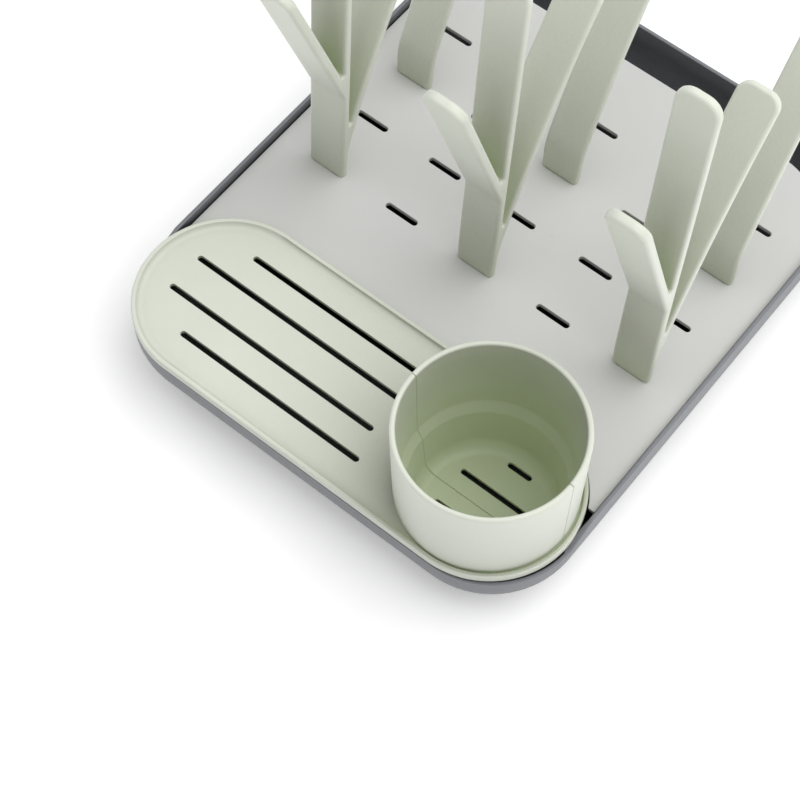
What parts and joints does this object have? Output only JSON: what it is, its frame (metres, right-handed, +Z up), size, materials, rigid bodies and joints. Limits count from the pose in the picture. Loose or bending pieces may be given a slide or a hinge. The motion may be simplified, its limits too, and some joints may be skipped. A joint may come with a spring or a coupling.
{
  "type": "bottle drying rack",
  "caption": "Countertop baby bottle drying rack: slotted deck with plug-in prongs over a drip tray, with a lift-out accessory tray and cup.",
  "frame": {"origin": "middle of the footprint, on the surface that the rubber feet stand on", "axes": "+X to the right, towards the cup; +Y to the rear; +Z up. The accessory tray is at the front, -Y"},
  "size_m": [0.2174, 0.262, 0.207],
  "materials": {
    "tray_plastic": "fine satin moulded polypropylene, slate grey",
    "deck_plastic": "satin moulded polypropylene, light warm grey",
    "sage_plastic": "satin moulded polypropylene, pale sage green",
    "foot_rubber": "matte silicone rubber, dark grey"
  },
  "bodies": {
    "base": {"drip_tray": "tray_plastic", "rubber_foot_front_left": "foot_rubber", "rubber_foot_front_right": "foot_rubber", "rubber_foot_rear_left": "foot_rubber", "rubber_foot_rear_right": "foot_rubber"},
    "deck": {"deck": "deck_plastic"},
    "post_front_left": {"post_front_left": "sage_plastic"},
    "post_front_middle": {"post_front_middle": "sage_plastic"},
    "post_front_right": {"post_front_right": "sage_plastic"},
    "post_rear_left": {"post_rear_left": "sage_plastic"},
    "post_rear_middle": {"post_rear_middle": "sage_plastic"},
    "post_rear_right": {"post_rear_right": "sage_plastic"},
    "accessory_tray": {"accessory_tray": "sage_plastic"},
    "cup": {"cup_front_half": "sage_plastic", "cup_rear_half": "sage_plastic"}
  },
  "joints": [
    {"name": "deck_lift", "type": "slide", "parent": "base", "child": "deck", "axis": [0, 0, 1], "range_m": [0, 0.04]},
    {"name": "accessory_tray_lift", "type": "slide", "parent": "base", "child": "accessory_tray", "axis": [0, 0, 1], "range_m": [0, 0.04]},
    {"name": "cup_lift", "type": "slide", "parent": "accessory_tray", "child": "cup", "axis": [0, 0, 1], "range_m": [0, 0.035]},
    {"name": "post_front_left_pull", "type": "slide", "parent": "deck", "child": "post_front_left", "axis": [0, 0, 1], "range_m": [0, 0.015]},
    {"name": "post_front_middle_pull", "type": "slide", "parent": "deck", "child": "post_front_middle", "axis": [0, 0, 1], "range_m": [0, 0.015]},
    {"name": "post_front_right_pull", "type": "slide", "parent": "deck", "child": "post_front_right", "axis": [0, 0, 1], "range_m": [0, 0.015]},
    {"name": "post_rear_left_pull", "type": "slide", "parent": "deck", "child": "post_rear_left", "axis": [0, 0, 1], "range_m": [0, 0.015]},
    {"name": "post_rear_middle_pull", "type": "slide", "parent": "deck", "child": "post_rear_middle", "axis": [0, 0, 1], "range_m": [0, 0.015]},
    {"name": "post_rear_right_pull", "type": "slide", "parent": "deck", "child": "post_rear_right", "axis": [0, 0, 1], "range_m": [0, 0.015]}
  ]
}
